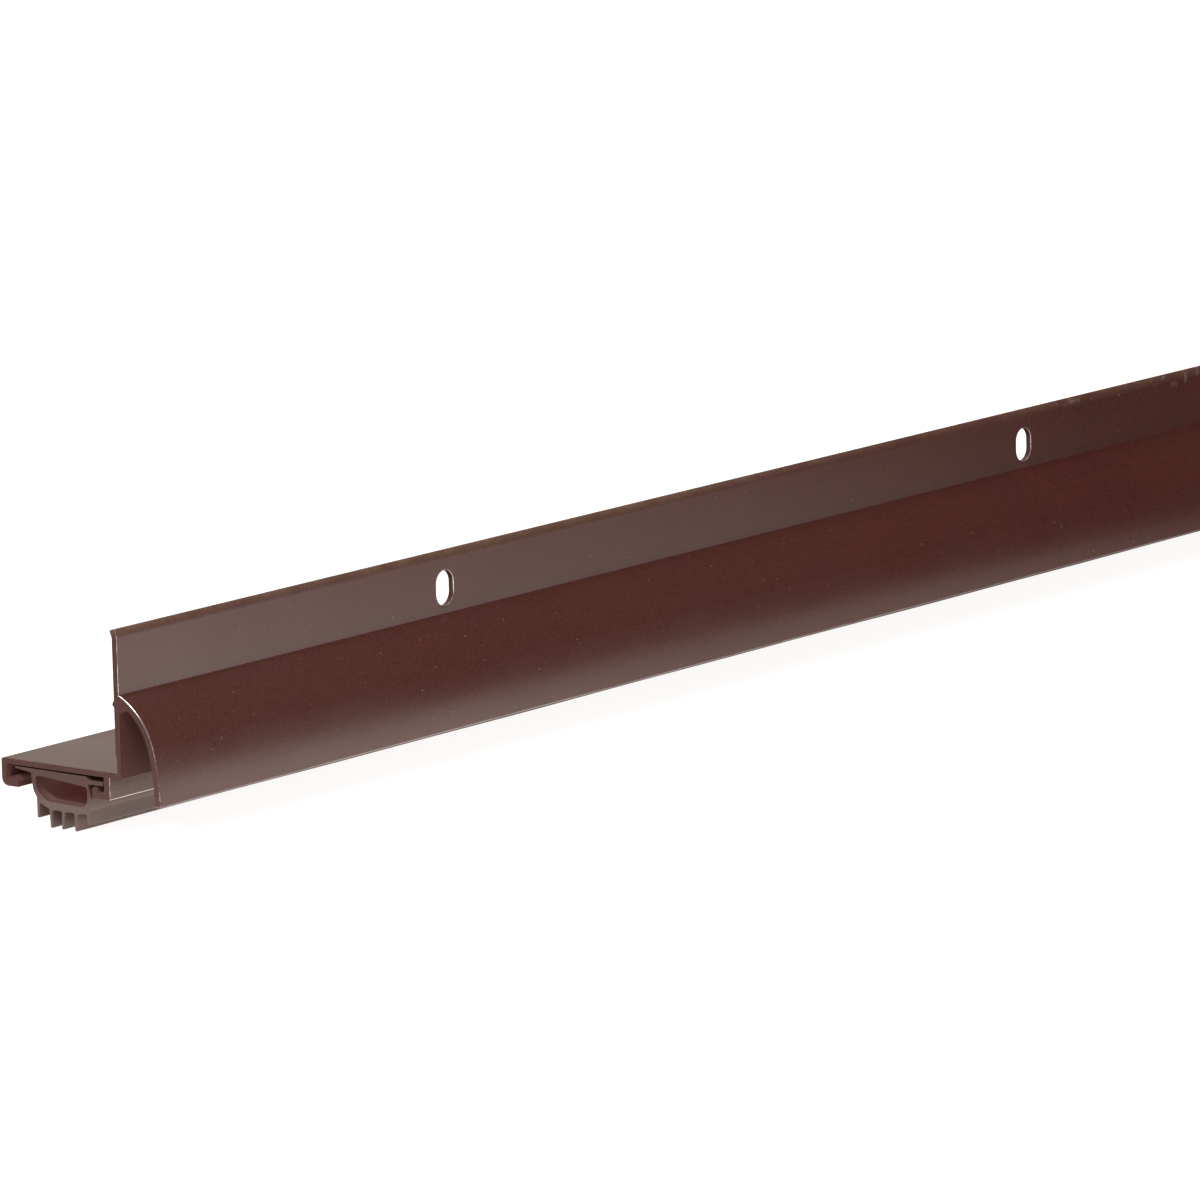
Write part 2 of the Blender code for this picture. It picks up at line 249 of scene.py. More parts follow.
# %% [markdown]
# ## Extruding with a dressed end
#
# A cut extrusion is deburred, so its end has a narrow rounded edge between the skin and the sawn
# face. It is the brightest line on the whole sweep. A bevel modifier would need one width
# everywhere and would tangle in the die's small corners. Here the end is part of the sweep: over
# the last fraction of a millimetre each point moves along a quarter circle towards the inside of
# the metal. The circle's radius is smaller near a tight corner, so the inset never crosses itself.

# %% Sweep helpers
DRESS_ANGLES = np.radians([90, 68, 45, 22, 0])


def outward_normals(outline):
    """The unit normal at each point: the direction between its two neighbours, turned left."""
    along = unit(np.roll(outline, -1, 0) - np.roll(outline, 1, 0))
    return np.stack([-along[:, 1], along[:, 0]], 1)


def dressing(outline, widest):
    """The edge radius at each point: widest on open stretches, less near tight outside corners.

    The turn at a point over the mean length of its two sides is its curvature. An outside corner
    allows 0.6 of its own radius, and the allowance grows by half the distance from the corner.
    """
    ahead = np.roll(outline, -1, 0) - outline
    behind = outline - np.roll(outline, 1, 0)
    step = np.linalg.norm(ahead, axis=1)
    crossed = behind[:, 1] * ahead[:, 0] - behind[:, 0] * ahead[:, 1]
    turn = np.arctan2(crossed, (behind * ahead).sum(1))
    mean_step = (step + np.roll(step, 1)) / 2
    radius = np.where(turn > 1e-3, mean_step / np.maximum(turn, 1e-3), np.inf)
    allowed = np.minimum(widest, 0.6 * radius)
    travelled = np.concatenate([[0], np.cumsum(step)])
    gap = np.abs(travelled[:-1, None] - travelled[None, :-1])
    gap = np.minimum(gap, travelled[-1] - gap)
    return (allowed[None, :] + 0.5 * gap).min(1)


def sweep(outline, stations, edge):
    """Carry a closed outline along X from end to end.

    Row by row: the left end's quarter circle, x = edge * (1 - sin a) in from the end and
    edge * (1 - cos a) in from the skin, then the plain stations, then the right end mirrored.
    Returns the points as rows of rings and, for each, how far it is round the dressed edge.
    """
    normals = outward_normals(outline)
    angle = np.concatenate([DRESS_ANGLES, np.zeros(len(stations)), DRESS_ANGLES[::-1]])[:, None]
    at_end = np.ones(len(DRESS_ANGLES))
    side = np.concatenate([-at_end, np.zeros(len(stations)), at_end])
    x = np.concatenate([0 * at_end, stations, 0 * at_end])[:, None]
    x = x + side[:, None] * (half_length - edge * (1 - np.sin(angle)))
    ring = outline - normals * (edge * (1 - np.cos(angle)))[..., None]
    points = np.concatenate([x[..., None], ring], 2)
    return points, np.broadcast_to(np.sin(2 * angle), x.shape)


def ring_quads(rows, columns):
    """Quads between neighbouring rings of a grid, facing out when each ring runs clockwise."""
    here = np.arange(rows * columns).reshape(rows, columns)
    beside = np.roll(here, -1, 1)
    return np.stack([here[:-1], here[1:], beside[1:], beside[:-1]], 2)


# %% [markdown]
# The pieces that each step makes are joined by welding points that lie in the same place, and the
# two ends are then filled. The fill is flat, so Blender's own triangle fill does it well, and it
# also leaves the bulb's hollow open.

# %% From arrays to one closed mesh
WELD = 0.0005 * MM


def solid(name, patches):
    """One closed object from patches of (points, edge values, quads), welded, with filled ends.

    An edge value above 0 is how far a point is round a dressed edge. -1 marks a hollow, and -2
    the channel. They become two attributes for the finishes to read: the dressed edge, and a mark
    for where the finishes paint paler colour as fill light.
    """
    start = np.cumsum([0] + [len(points) for points, _, _ in patches])
    points = np.vstack([patch[0] for patch in patches])
    quads = np.vstack([patch[2] + first for patch, first in zip(patches, start)])
    mesh = bpy.data.meshes.new(name)
    mesh.from_pydata(points.tolist(), [], quads.tolist())
    values = np.concatenate([patch[1] for patch in patches]).astype(np.float32)
    dressed, painted_fill_mark = np.maximum(values, 0), np.maximum(-values, 0)
    for attribute, data in (("dressed_edge", dressed), ("painted_fill_mark", painted_fill_mark)):
        mesh.attributes.new(attribute, "FLOAT", "POINT").data.foreach_set("value", data)
    bm = bmesh.new()
    bm.from_mesh(mesh)
    bmesh.ops.remove_doubles(bm, verts=bm.verts[:], dist=WELD)
    for side in (-1, 1):
        rim = [e for e in bm.edges if e.is_boundary and e.verts[0].co.x * side > 0]
        bmesh.ops.triangle_fill(bm, use_beauty=True, edges=rim)
    bmesh.ops.recalc_face_normals(bm, faces=bm.faces[:])
    volume, loose = bm.calc_volume(signed=True), sum(e.is_boundary for e in bm.edges)
    bm.to_mesh(mesh)
    bm.free()
    mesh.shade_smooth()
    made = bpy.data.objects.new(name, mesh)
    bpy.context.scene.collection.objects.link(made)
    print(name, len(mesh.vertices), "points,", round(volume / MM ** 3), "mm3,", loose, "open edges")
    return made


def even_shading(piece):
    """Let large flat faces set the normals, so that only the narrow round edges shade as round."""
    weighted = piece.modifiers.new("even_shading", "WEIGHTED_NORMAL")
    weighted.mode = "FACE_AREA"
    weighted.weight = 100
    weighted.keep_sharp = True


# %% [markdown]
# ## Punched slots
#
# Each slot is an upright stadium through the flange. A punch draws the skin in a little where it
# enters, which leaves a soft round rim in front, and breaks out with a crisper rim behind. Cutting
# with a Boolean would give two sharp rims. Instead the window in the flange is filled with one
# tube of rings: from the window's rectangle in to the rim, round the rim, through the wall, round
# the back rim and out to the rectangle behind.

# %% One slot as a tube of rings
front_rim, back_rim = 0.20, 0.10
RIM_ANGLES = np.radians([0, 18, 36, 54, 72, 90])


def window_ring():
    """Points round the window's rectangle, from its lower right corner, the same count per side."""
    corners = window_half * np.array([(1, -1), (1, 1), (-1, 1), (-1, -1)])
    share = (np.arange(WINDOW_STEPS) / WINDOW_STEPS)[None, :, None]
    step = np.roll(corners, -1, 0) - corners
    return (corners[:, None] + step[:, None] * share).reshape(-1, 2)


def stadium_rings(grow):
    """The slot's outline grown by each value: radius * (cos t, sin t), moved up or down by half
    its straight length according to the sign of sin t."""
    t = np.radians(-45 + 360 * np.arange(4 * WINDOW_STEPS) / (4 * WINDOW_STEPS))
    radius = slot_radius + np.asarray(grow)[:, None]
    return np.stack([radius * np.cos(t), radius * np.sin(t) + slot_straight * np.sign(np.sin(t))], 2)


def slot_patch(x):
    """One slot's rings, front to back, as (points, edge values, quads)."""
    rim_in, rim_deep = 1 - np.sin(RIM_ANGLES), 1 - np.cos(RIM_ANGLES)
    grow = np.concatenate([front_rim * rim_in, back_rim * rim_in[::-1]])
    depth = np.concatenate([flange_front + front_rim * rim_deep,
                            flange_back - back_rim * rim_deep[::-1]])
    hole = stadium_rings(grow)
    outer = window_ring()[None]
    rings = np.concatenate([outer, (outer + hole[:1]) / 2, hole, (outer + hole[-1:]) / 2, outer])
    depth = np.concatenate([[flange_front] * 2, depth, [flange_back] * 2])
    worn_rim = np.sin(2 * RIM_ANGLES)
    edge = np.concatenate([[0, 0], worn_rim, 0.5 * worn_rim[::-1], [0, 0]])
    points = np.stack([rings[..., 0] + x, np.broadcast_to(depth[:, None], rings.shape[:2]),
                       rings[..., 1] + slot_height], 2)
    edge = np.broadcast_to(edge[:, None], rings.shape[:2])
    quads = ring_quads(*rings.shape[:2])
    return points.reshape(-1, 3) * MM, edge.ravel(), quads.reshape(-1, 4)


# %% [markdown]
# ## The carrier
#
# The sweep gets a station at each side of every window. Where a station lies between two window
# sides and the outline runs between the window's heights, the quads are left out, and the slot's
# tube fills the hole.
#
# Handling rubs some edges more than others. The cap's cut edge is dressed widest, above all on
# its bend, then the front of the flange and of the front hook, and the rest is left almost as
# sawn. So the width of the dressed edge and its wear are set place by place round the outline.
# The inside of the drip cap and of the channel are marked, so that the finish can paint them paler as
# fill light.

# %% Make the carrier
section_mm = carrier_section / MM
from_bend = np.linalg.norm(section_mm - bend_centre, axis=1) - bend_radius
from_skirt = np.linalg.norm(section_mm - skirt_centre, axis=1) - skirt_radius
join_height = bend_centre[1] + bend_radius * math.cos(slope_join)
cap_distance = np.where(section_mm[:, 1] > join_height, from_bend, from_skirt)
before_door = section_mm[:, 0] < flange_front + 0.01
on_cap = before_door & (np.abs(cap_distance) < 0.05) & (section_mm[:, 1] < cap_top)
in_hollow = before_door & (cap_distance < -0.8) & (section_mm[:, 1] < 15)
windows = (slot_x[:, None] + window_half[0] * window_steps) * MM
carrier_stations = np.sort(np.concatenate([windows.ravel(), np.linspace(-0.40, 0.40, 9)]))
on_front = (section_mm[:, 0] < flange_front + 0.6) & (section_mm[:, 1] > cap_top)
on_front |= (np.abs(section_mm[:, 0] - hook_front) < 0.2) & (section_mm[:, 1] < leg_under)
cap_edge = np.interp(section_mm[:, 1], [3, 10], [0.20, 0.38])
widest_edge = np.where(on_cap, cap_edge, np.where(on_front, 0.18, 0.10))
carrier_edge = dressing(carrier_section, widest_edge * MM)
carrier_points, carrier_round = sweep(carrier_section, carrier_stations, carrier_edge)
in_channel = ((section_mm[:, 0] > hook_front + 0.3) & (section_mm[:, 0] < leg_back - 0.3)
              & (section_mm[:, 1] > hook_bottom + 0.3) & (section_mm[:, 1] < leg_under + 0.05))
cap_wear = np.interp(section_mm[:, 1], [2, 9, 11], [0.72, 0.90, 1.30])
carrier_round = carrier_round * np.where(on_cap, cap_wear, np.where(on_front, 0.88, 0.60))
# Marks for painted fill light: -1 in the drip hollow, -2 in the channel.
carrier_round = np.where(in_channel, -2, np.where(in_hollow, -1, carrier_round))
carrier_quads = ring_quads(*carrier_round.shape)

flat = np.isclose(carrier_section[:, 0], flange_front * MM)
flat |= np.isclose(carrier_section[:, 0], flange_back * MM)
height = carrier_section[:, 1] / MM
in_window = flat & (height > window_heights[0] - 0.01) & (height < window_heights[-1] + 0.01)
window_column = in_window & np.roll(in_window, -1)
row_x = carrier_points[:, :, 0].mean(1)
middle_x = (row_x[1:] + row_x[:-1]) / 2
window_row = (np.abs(middle_x[:, None] / MM - slot_x) < window_half[0]).any(1)
kept = ~(window_row[:, None] & window_column[None, :])

carrier = solid("brown_carrier_extrusion", [
    (carrier_points.reshape(-1, 3), carrier_round.ravel(), carrier_quads[kept]),
    *[slot_patch(x) for x in slot_x],
])
even_shading(carrier)

# %% [markdown]
# ## The insert's section
#
# The vinyl hangs from the lips by two tabs, and a web joins them over the bulb. The back tab thins
# out to a limp edge. Five fins hang from the bulb, and the first and last are short. The underside
# between them follows the bulb's round corners: flat in the middle, a quarter circle at each end.

# %% Sizes of the insert, in millimetres
clearance = 0.3
bulb_front, bulb_back, bulb_bottom = 7.2, 25.15, -10.5
bulb_front_radius, bulb_back_radius = 2.8, 6.6
web_top, web_drop = leg_under - clearance, 0.08
tab_front = insert_low[1] / MM
tab_back = insert_high[1] / MM
tab_under = bead_top + clearance
tab_top = tab_under + 1.0
neck = bulb_front + 0.9
fin_width, fin_taper, fin_root_round = 0.85, 0.85, 0.45
fin_tip_width = fin_width * fin_taper
fin_x = np.linspace(bulb_front + 1.1, bulb_back - 1.85, 5)
long_fin, short_fin = 4.15, 2.2
fin_reach = np.array([short_fin, long_fin, long_fin, long_fin, short_fin])


def bulb_underside(y):
    """Height of the bulb's underside at y: flat, with a quarter circle at each end."""
    front = np.maximum(bulb_front + bulb_front_radius - y, 0)
    back = np.maximum(y - bulb_back + bulb_back_radius, 0)
    rise = bulb_front_radius - np.sqrt(np.maximum(bulb_front_radius ** 2 - front ** 2, 0))
    back_drop = np.sqrt(np.maximum(bulb_back_radius ** 2 - back ** 2, 0))
    return bulb_bottom + rise + bulb_back_radius - back_drop


def finned_underside():
    """From the bulb's front side, under it fin by fin, and up to its back side."""
    root, tip = fin_width / 2, fin_tip_width / 2
    starts = np.concatenate([[bulb_front], fin_x + root])
    ends = np.concatenate([fin_x - root, [bulb_back]])
    ease = (1 - np.cos(np.linspace(0, math.pi, 12))) / 2
    runs = starts[:, None] + (ends - starts)[:, None] * ease
    rows = []
    for i, run in enumerate(runs):
        rounding = np.zeros(len(run))
        rounding[0] = fin_root_round if i > 0 else 0
        rounding[-1] = fin_root_round if i < len(fin_x) else 0
        keep = np.ones(len(run), bool)
        keep[1:4] = keep[-4:-1] = False
        rows.append(np.stack([run, bulb_underside(run), rounding], 1)[keep])
        if i < len(fin_x):
            bottom = bulb_bottom - fin_reach[i]
            rows.append(np.array([(fin_x[i] - tip, bottom, 0.25), (fin_x[i] + tip, bottom, 0.25)]))
    return np.vstack(rows)


def insert_outline():
    """Once round the insert: over the web from the back, round the front tab, under the bulb."""
    middle = (bulb_front + bulb_back) / 2
    over = np.array([
        (tab_back, web_top, 0.12),
        (middle + 1.5, web_top, 0.4),
        (middle + 0.6, web_top - web_drop, 0.4),
        (neck + 0.8, web_top - web_drop, 0.5),
        (neck - 0.6, tab_top, 0.5),
        (tab_front, tab_top, 0.4),
        (tab_front, tab_under, 0.4),
        (neck, tab_under, 0.3),
        (bulb_front, hook_bottom - clearance, 0.9),
    ])
    back = np.array([
        (bulb_back, web_top - 1.0, 0.3),
        (tab_back, web_top - 0.4, 0.12),
    ])
    return rounded(np.vstack([over, finned_underside(), back]))[::-1] * MM


def hollow_outline():
    """The bulb's hollow, the other way round, because its skin faces into the hollow."""
    front, back, floor = bulb_front + 1.25, bulb_back - 1.25, bulb_bottom + 1.6
    roof = web_top - 1.35
    return rounded(np.array([
        (back, roof, 0.9),
        (front, roof - 1.2, 0.9),
        (front, floor, 2.1),
        (back, floor + 0.4, 4.8),
    ])) * MM


insert_section, hollow_section = insert_outline(), hollow_outline()
print("insert outline:", len(insert_section), "points, hollow:", len(hollow_section))

# %% [markdown]
# ## The insert
#
# Soft vinyl never hangs quite straight. Below the bulb each point moves a little to the front or
# the back along a slow wave made of two sines, by the square of how far down its fin it is.
# All of a fin follows one wave, and the waves differ from fin to fin.

# %% Make the insert
INSERT_EDGE = 0.09 * MM
WAVINESS = 0.16 * MM
insert_stations = np.linspace(-0.452, 0.452, 181)


def wander(points):
    """Points with the fins' slow wave added: it grows with the square of the depth below the bulb."""
    x, y, z = np.moveaxis(points, 2, 0)
    depth = np.clip((bulb_bottom * MM - z) / (long_fin * MM), 0, 1)
    fin = np.round((y / MM - fin_x[0]) / (fin_x[1] - fin_x[0]))
    wave = np.sin(x * 31 + fin * 1.9) + 0.6 * np.sin(x * 83 + fin * 4.1)
    moved = points.copy()
    moved[..., 1] += WAVINESS * wave * depth ** 2
    return moved


insert_patches = []
for section in (insert_section, hollow_section):
    skin, skin_round = sweep(section, insert_stations, dressing(section, INSERT_EDGE))
    # Marks for painted fill light: -2 on the tabs in the channel, -1 all round the bulb's hollow.
    on_tab = (section[:, 0] < neck * MM) | (section[:, 1] > -2.3 * MM)
    sheltered_tab = on_tab & (section[:, 1] > (hook_bottom + 0.4) * MM)
    mark = np.where(sheltered_tab, -2, skin_round).ravel()
    if section is hollow_section:
        mark = -np.ones(skin_round.size)
    skin_quads = ring_quads(*skin_round.shape).reshape(-1, 4)
    insert_patches.append((wander(skin).reshape(-1, 3), mark, skin_quads))
insert = solid("brown_vinyl_insert", insert_patches)
even_shading(insert)

# %% [markdown]
# ## Nodes for the finishes
#
# Every finish is made of nodes on object coordinates, which are true metres here, so a noise of
# scale 500 has lumps 2 mm across. One helper adds a node, sets its options and fills its inputs,
# so that each finish below reads as a list of its layers.

# %% Node helpers


def add(tree, kind, inputs=None, **options):
    """A new shader node. An input is a value, or another node's output to link from."""
    made = tree.nodes.new("ShaderNode" + kind)
    for name, value in options.items():
        setattr(made, name, value)
    for name, value in (inputs or {}).items():
        if isinstance(value, bpy.types.NodeSocket):
            tree.links.new(value, made.inputs[name])
        else:
            made.inputs[name].default_value = value
    return made


def new_finish(name):
    """An empty material with its Principled shader, and object coordinates to work from."""
    made = bpy.data.materials.new(name)
    made.use_nodes = True
    tree = made.node_tree
    shader = tree.nodes["Principled BSDF"]
    return made, tree, shader, add(tree, "TexCoord").outputs["Object"]


def noise(tree, place, scale, detail=2.0, stretch=None, roughness=0.5):
    """Cloudy noise. stretch scales each axis first, so a small X makes streaks along the sweep."""
    if stretch:
        place = add(tree, "Mapping", {"Vector": place, "Scale": stretch}).outputs["Vector"]
    inputs = {"Vector": place, "Scale": scale, "Detail": detail, "Roughness": roughness}
    return add(tree, "TexNoise", inputs).outputs["Fac"]


def between(tree, value, low, high, to_low=0.0, to_high=1.0):
    """A value carried from one range to another, and held at the ends."""
    inputs = {"Value": value, "From Min": low, "From Max": high, "To Min": to_low, "To Max": to_high}
    return add(tree, "MapRange", inputs).outputs["Result"]


def blend_colour(tree, share, first, second):
    """A colour between two others."""
    made = tree.nodes.new("ShaderNodeMix")
    made.data_type = "RGBA"
    for socket, value in ((made.inputs[0], share), (made.inputs[6], first), (made.inputs[7], second)):
        if isinstance(value, bpy.types.NodeSocket):
            tree.links.new(value, socket)
        else:
            socket.default_value = value
    return made.outputs[2]


def times(tree, first, second):
    """One value multiplied by another."""
    return math_node(tree, "MULTIPLY", first, second)


def behind_the_cut(tree, along):
    """0 within 0.1 mm of the sawn ends and 1 from 0.4 mm in, so a layer can leave the ends alone."""
    from_middle = math_node(tree, "ABSOLUTE", along)
    return between(tree, from_middle, half_length - 0.1 * MM, half_length - 0.4 * MM)


def math_node(tree, operation, first, second=0.0):
    """One arithmetic step."""
    made = add(tree, "Math", {0: first}, operation=operation)
    if isinstance(second, bpy.types.NodeSocket):
        tree.links.new(second, made.inputs[1])
    else:
        made.inputs[1].default_value = second
    return made.outputs[0]


def dust(tree, place, cell_scale, size):
    """Scattered specks: 1 near the centre of some cells of a Voronoi pattern, 0 elsewhere."""
    cells = add(tree, "TexVoronoi", {"Vector": place, "Scale": cell_scale})
    near = between(tree, cells.outputs["Distance"], size, size * 0.5)
    chosen = add(tree, "SeparateColor", {"Color": cells.outputs["Color"]}).outputs["Red"]
    return times(tree, near, math_node(tree, "GREATER_THAN", chosen, 0.45))


# %% [markdown]
# ## Brown finish on aluminium
#
# The extrusion has a thin semi-gloss brown coat. Up close it isn't one colour: it clouds between a
# redder and a greyer brown, and a painted gradient of light makes it lighter and browner towards the
# left end. It has faint lines along the die's path, an orange-peel skin that softens reflections,
# and specks of dust. The top of the flange is worn to a paler brown and also carries a painted
# sheen, both less so towards the right, with a few rub marks near it from the second slot on. The
# hooks, the drip hollow and the channel are given paler colours, painted fill light, because little
# light reaches them. Bare metal shows in broken lines on the dressed edges, under the front
# hook's corner and, faintly, along the foot of the skirt. A flat colour with gloss would look like
# plastic, so each layer is added in turn.

# %% The carrier's finish


def brown_coat():
    """Clouded brown under a semi-gloss coat, with die lines, dust and bare metal on the edges."""
    made, tree, shader, place = new_finish("brown_coat_on_aluminium")
    clouds = between(tree, noise(tree, place, 330, 4.0, roughness=0.6), 0.36, 0.64)
    drift = between(tree, noise(tree, place, 28, 2.0), 0.35, 0.65)
    lines = noise(tree, place, 1.0, 3.0, stretch=(3, 1400, 1400))
    across = add(tree, "SeparateXYZ", {"Vector": place})
    height = across.outputs["Z"]
    along = across.outputs["X"]
    skin = behind_the_cut(tree, along)
    redder = blend_colour(tree, drift, (0.071, 0.0155, 0.0105, 1), (0.065, 0.0148, 0.0110, 1))
    greyer = blend_colour(tree, drift, (0.058, 0.0170, 0.0112, 1), (0.055, 0.0148, 0.0106, 1))
    colour = blend_colour(tree, clouds, redder, greyer)
    # Painted light: a lighter, browner coat towards the left end stands in for the light falling there.
    painted_light_to_left = between(tree, along, -450 * MM, -80 * MM, 0.9, 0.0)
    colour = blend_colour(tree, painted_light_to_left, colour, (0.075, 0.0250, 0.0190, 1))
    die_lines = between(tree, lines, 0.55, 0.75, 0.0, 0.2)
    colour = blend_colour(tree, die_lines, colour, (0.085, 0.032, 0.025, 1))
    # Worn paler top of the flange, with a painted sheen added to the wear; both fade towards the right.
    wear_and_painted_sheen = between(tree, height, 30.4 * MM, 32.8 * MM)
    wear_and_painted_sheen = times(tree, wear_and_painted_sheen, between(tree, noise(tree, place, 120, 4.0), 0.3, 0.6, 0.55, 1.0))
    wear_and_painted_sheen = times(tree, wear_and_painted_sheen, between(tree, along, -250 * MM, -170 * MM, 1.0, 0.55))
    colour = blend_colour(tree, wear_and_painted_sheen, colour, (0.135, 0.076, 0.054, 1))
    # Painted fill light: the hooks under the leg are painted paler, because little light reaches them.
    hooks = times(tree, between(tree, height, -1.0 * MM, -2.0 * MM),
                  between(tree, across.outputs["Y"], 0, 1 * MM))
    hooks = times(tree, hooks, skin)
    colour = blend_colour(tree, hooks, colour, (0.105, 0.047, 0.039, 1))
    rubbed = times(tree, between(tree, along, -120 * MM, -105 * MM),
                   between(tree, height, 28.0 * MM, 31.5 * MM))
    rub_marks = noise(tree, place, 420, 3.0, stretch=(0.8, 1, 1))
    rubbed = times(tree, rubbed, between(tree, rub_marks, 0.60, 0.70))
    colour = blend_colour(tree, times(tree, rubbed, 0.40), colour, (0.20, 0.16, 0.145, 1))
    grain = between(tree, noise(tree, place, 1500, 3.0, roughness=0.7), 0.3, 0.7, 0.78, 1.22)
    colour = add(tree, "VectorMath", {0: colour, "Scale": grain}, operation="SCALE").outputs[0]
    # Painted fill light: the drip hollow and the channel are painted paler, because little light
    # reaches them.
    painted_fill_mark = add(tree, "Attribute", attribute_name="painted_fill_mark").outputs["Fac"]
    hollow = times(tree, between(tree, painted_fill_mark, 0, 1), skin)
    channel = times(tree, between(tree, painted_fill_mark, 1, 2), skin)
    colour = blend_colour(tree, hollow, colour, (0.108, 0.033, 0.026, 1))
    colour = blend_colour(tree, channel, colour, (0.19, 0.085, 0.073, 1))
    specks = dust(tree, place, 330, 0.055)
    colour = blend_colour(tree, times(tree, specks, 0.75), colour, (0.32, 0.26, 0.23, 1))
    edge = add(tree, "Attribute", attribute_name="dressed_edge").outputs["Fac"]
    breaks = noise(tree, place, 700, 2.0)
    bare = between(tree, math_node(tree, "ADD", edge, times(tree, breaks, 0.9)), 1.05, 1.3)
    corner = times(tree, between(tree, height, -6.10 * MM, -6.25 * MM),
                   between(tree, across.outputs["Y"], 1.85 * MM, 1.65 * MM))
    corner = times(tree, corner, between(tree, noise(tree, place, 90, 4.0), 0.35, 0.6, 0.35, 0.9))
    corner = times(tree, corner, between(tree, across.outputs["Y"], -8 * MM, 0, 0.25, 1.0))
    bare = math_node(tree, "MAXIMUM", bare, corner)
    colour = blend_colour(tree, bare, colour, (0.72, 0.68, 0.65, 1))
    smudge = between(tree, noise(tree, place, 45, 3.0), 0.3, 0.7, 0.235, 0.30)
    rough = math_node(tree, "ADD", smudge, times(tree, specks, 0.3))
    rough = math_node(tree, "ADD", rough, times(tree, hollow, 0.35))
    peel = noise(tree, place, 900, 2.0)
    sag = noise(tree, place, 60, 1.0, stretch=(0.4, 1, 1))
    fine = add(tree, "Bump", {"Height": peel, "Strength": 0.5, "Distance": 0.012 * MM})
    lined = add(tree, "Bump", {"Height": lines, "Strength": 0.5, "Distance": 0.010 * MM,
                               "Normal": fine.outputs["Normal"]})
    wavy = add(tree, "Bump", {"Height": sag, "Strength": 0.5, "Distance": 0.05 * MM,
                              "Normal": lined.outputs["Normal"]})
    tree.links.new(colour, shader.inputs["Base Color"])
    tree.links.new(rough, shader.inputs["Roughness"])
    tree.links.new(times(tree, bare, 0.9), shader.inputs["Metallic"])
    tree.links.new(wavy.outputs["Normal"], shader.inputs["Normal"])
    return made


carrier.data.materials.append(brown_coat())

# %% [markdown]
# ## Brown vinyl
#
# The vinyl is a little lighter and greyer than the coat, and duller. It drags in the die, so it
# has fine lines along its length, and it holds more dust. It gets paler towards the fins. Inside
# the bulb and in the channel it is painted in paler colours as fill light, because little light
# reaches them.

# %% The insert's finish


def brown_vinyl():
    """Soft brown vinyl with drag lines, a satin skin and dust."""
    made, tree, shader, place = new_finish("brown_vinyl")
    clouds = between(tree, noise(tree, place, 240, 4.0), 0.35, 0.65)
    lines = noise(tree, place, 1.0, 4.0, stretch=(4, 1800, 1800))
    colour = blend_colour(tree, clouds, (0.092, 0.040, 0.032, 1), (0.082, 0.039, 0.031, 1))
    drag_lines = between(tree, lines, 0.5, 0.75, 0.0, 0.3)
    colour = blend_colour(tree, drag_lines, colour, (0.135, 0.080, 0.068, 1))
    grain = between(tree, noise(tree, place, 1300, 3.0, roughness=0.7), 0.3, 0.7, 0.8, 1.2)
    colour = add(tree, "VectorMath", {0: colour, "Scale": grain}, operation="SCALE").outputs[0]
    across = add(tree, "SeparateXYZ", {"Vector": place})
    along = across.outputs["X"]
    low = between(tree, across.outputs["Z"], -6.0 * MM, -9.0 * MM, 0.0, 0.75)
    colour = blend_colour(tree, low, colour, (0.145, 0.090, 0.080, 1))
    depth = between(tree, math_node(tree, "ABSOLUTE", along), half_length, half_length - 13 * MM)
    skin = behind_the_cut(tree, along)
    # Painted fill light: the bulb's hollow, rising over the first 13 mm in from each end, and the tabs
    # in the channel are painted paler, because little light reaches them.
    painted_fill_mark = add(tree, "Attribute", attribute_name="painted_fill_mark").outputs["Fac"]
    inside = times(tree, between(tree, painted_fill_mark, 0, 1), depth)
    channel = times(tree, between(tree, painted_fill_mark, 1, 2), skin)
    colour = blend_colour(tree, inside, colour, (0.86, 0.41, 0.36, 1))
    colour = blend_colour(tree, channel, colour, (0.110, 0.056, 0.048, 1))
    specks = dust(tree, place, 380, 0.07)
    colour = blend_colour(tree, times(tree, specks, 0.5), colour, (0.33, 0.28, 0.25, 1))
    rough = between(tree, noise(tree, place, 90, 3.0), 0.3, 0.7, 0.36, 0.46)
    grain = noise(tree, place, 2200, 2.0)
    fine = add(tree, "Bump", {"Height": grain, "Strength": 0.4, "Distance": 0.010 * MM})
    lined = add(tree, "Bump", {"Height": lines, "Strength": 0.6, "Distance": 0.018 * MM,
                               "Normal": fine.outputs["Normal"]})
    tree.links.new(colour, shader.inputs["Base Color"])
    tree.links.new(rough, shader.inputs["Roughness"])
    tree.links.new(lined.outputs["Normal"], shader.inputs["Normal"])
    return made


insert.data.materials.append(brown_vinyl())

# %% [markdown]
# ## Putting the pieces in the frame
#
# Each piece rides on its body, so it moves with the joint, and takes the place of its plain solid.

# %% Ride and replace
for piece, body, node, finish in (
    (carrier, "carrier", "aluminium_carrier", "brown_aluminium"),
    (insert, "insert", "vinyl_bulb_insert", "brown_vinyl"),
):
    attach(piece, body)
    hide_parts(node)

# %% [markdown]
# ## Floor, cards and lights
#
# The sweep stands on its fins on a plain white floor. The floor glows, like a lit table, so that it
# stays white and the shadow under the sweep stays faint. Semi-gloss brown shows what it reflects
# more than its own colour, so the reflections get their own set: a card just under the floor and
# a dark tent overhead with one pale side at the back. Those two are seen only in reflections, and
# the floor is seen by everything but reflections.

# %% The floor
floor_height = insert_low[2] - 0.02 * MM


